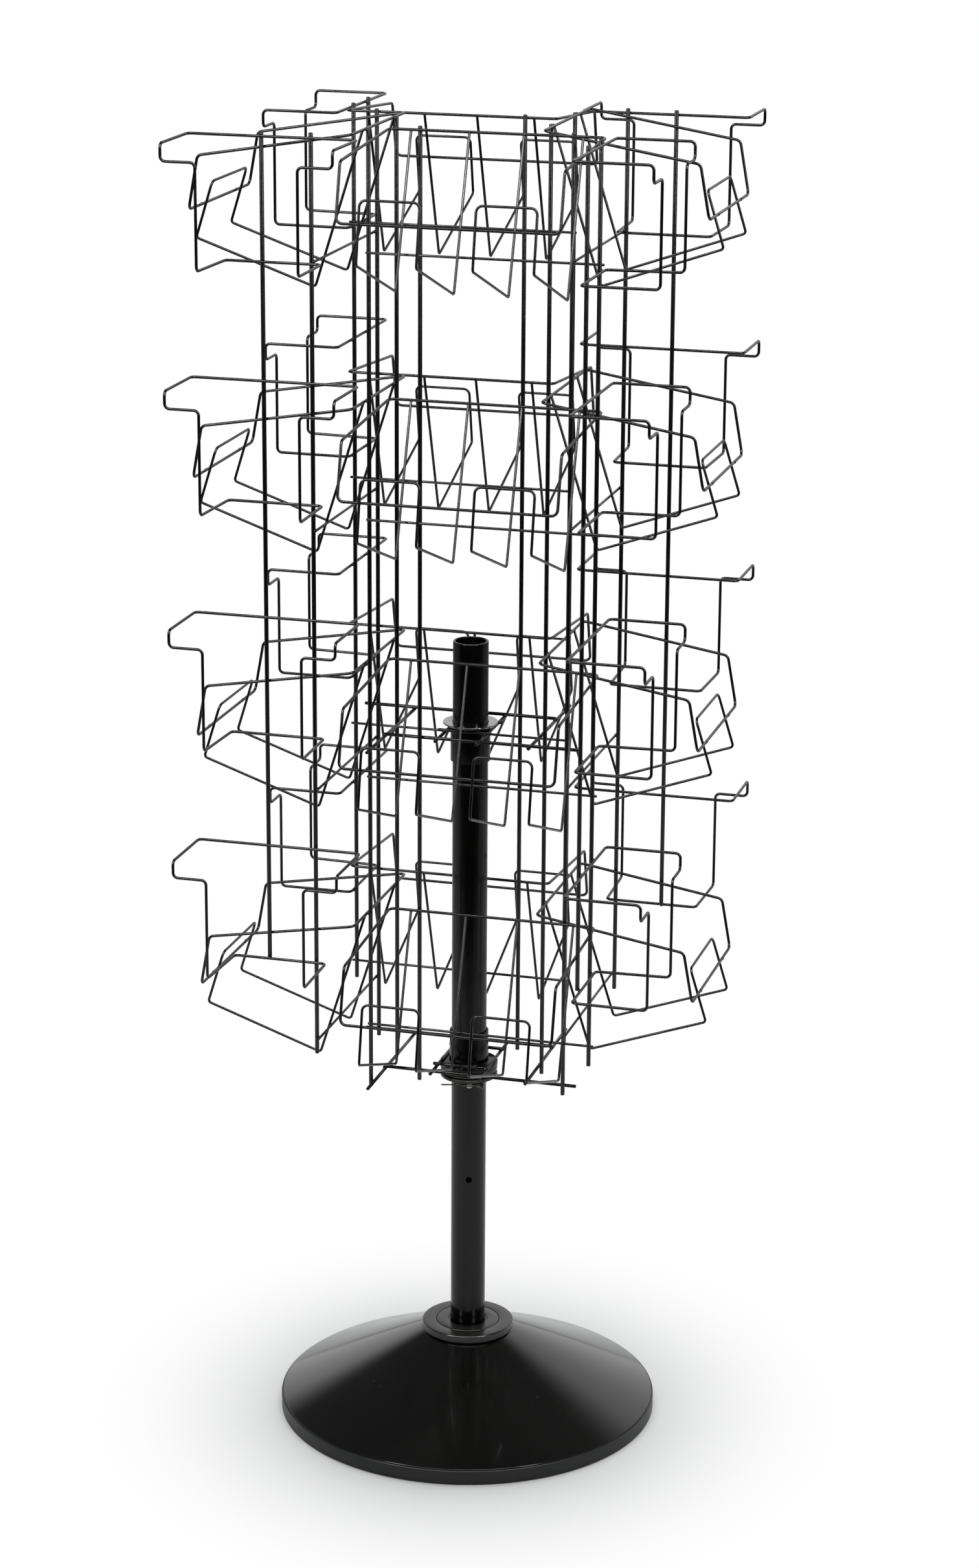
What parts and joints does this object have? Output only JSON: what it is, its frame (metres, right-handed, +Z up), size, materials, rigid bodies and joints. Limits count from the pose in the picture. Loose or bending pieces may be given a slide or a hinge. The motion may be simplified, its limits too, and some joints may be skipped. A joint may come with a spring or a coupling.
{
  "type": "rotating display rack",
  "caption": "Floor-standing rack on a weighted conical base: a welded wire cage of pocket baskets and wing loops that spins freely on a central pole.",
  "frame": {"origin": "on the pole's axis at floor level", "axes": "+Z up along the pole; at rest the cage's front baskets face -Y"},
  "size_m": [0.6978, 0.6594, 1.883],
  "materials": {
    "black_wire": "gloss black coated steel wire",
    "black_gloss": "high-gloss black enamel",
    "black_satin": "satin black coating",
    "zinc_steel": "bright zinc plated",
    "bearing_steel": "dark oiled steel"
  },
  "bodies": {
    "stand": {"base_plate": "black_satin", "base_cone": "black_gloss", "collar_ring": "black_satin", "collar_hub": "black_satin", "pole": "black_gloss", "support_pin": "zinc_steel", "retaining_clip": "zinc_steel", "bearing_lower_race": "bearing_steel", "bearing_ball_ring": "bearing_steel", "pole_plug": "zinc_steel", "base_bolt": "zinc_steel"},
    "cage": {"front_basket_1": "black_wire", "front_basket_2": "black_wire", "front_basket_3": "black_wire", "front_basket_4": "black_wire", "front_wing_loop_1": "black_wire", "front_wing_loop_2": "black_wire", "front_wing_loop_3": "black_wire", "front_wing_loop_4": "black_wire", "front_ladder": "black_wire", "front_upright": "black_wire", "front_wing_post": "black_wire", "right_basket_1": "black_wire", "right_basket_2": "black_wire", "right_basket_3": "black_wire", "right_basket_4": "black_wire", "right_wing_loop_1": "black_wire", "right_wing_loop_2": "black_wire", "right_wing_loop_3": "black_wire", "right_wing_loop_4": "black_wire", "right_ladder": "black_wire", "right_upright": "black_wire", "right_wing_post": "black_wire", "back_basket_1": "black_wire", "back_basket_2": "black_wire", "back_basket_3": "black_wire", "back_basket_4": "black_wire", "back_wing_loop_1": "black_wire", "back_wing_loop_2": "black_wire", "back_wing_loop_3": "black_wire", "back_wing_loop_4": "black_wire", "back_ladder": "black_wire", "back_upright": "black_wire", "back_wing_post": "black_wire", "left_basket_1": "black_wire", "left_basket_2": "black_wire", "left_basket_3": "black_wire", "left_basket_4": "black_wire", "left_wing_loop_1": "black_wire", "left_wing_loop_2": "black_wire", "left_wing_loop_3": "black_wire", "left_wing_loop_4": "black_wire", "left_ladder": "black_wire", "left_upright": "black_wire", "left_wing_post": "black_wire", "upper_hub": "black_satin", "lower_hub": "black_satin", "hub_disc": "zinc_steel", "bearing_upper_race": "bearing_steel"}
  },
  "joints": [
    {"name": "cage_spin", "type": "hinge", "parent": "stand", "child": "cage", "pos_m": [0, 0, 0.525], "axis": [0, 0, 1], "continuous": true}
  ]
}
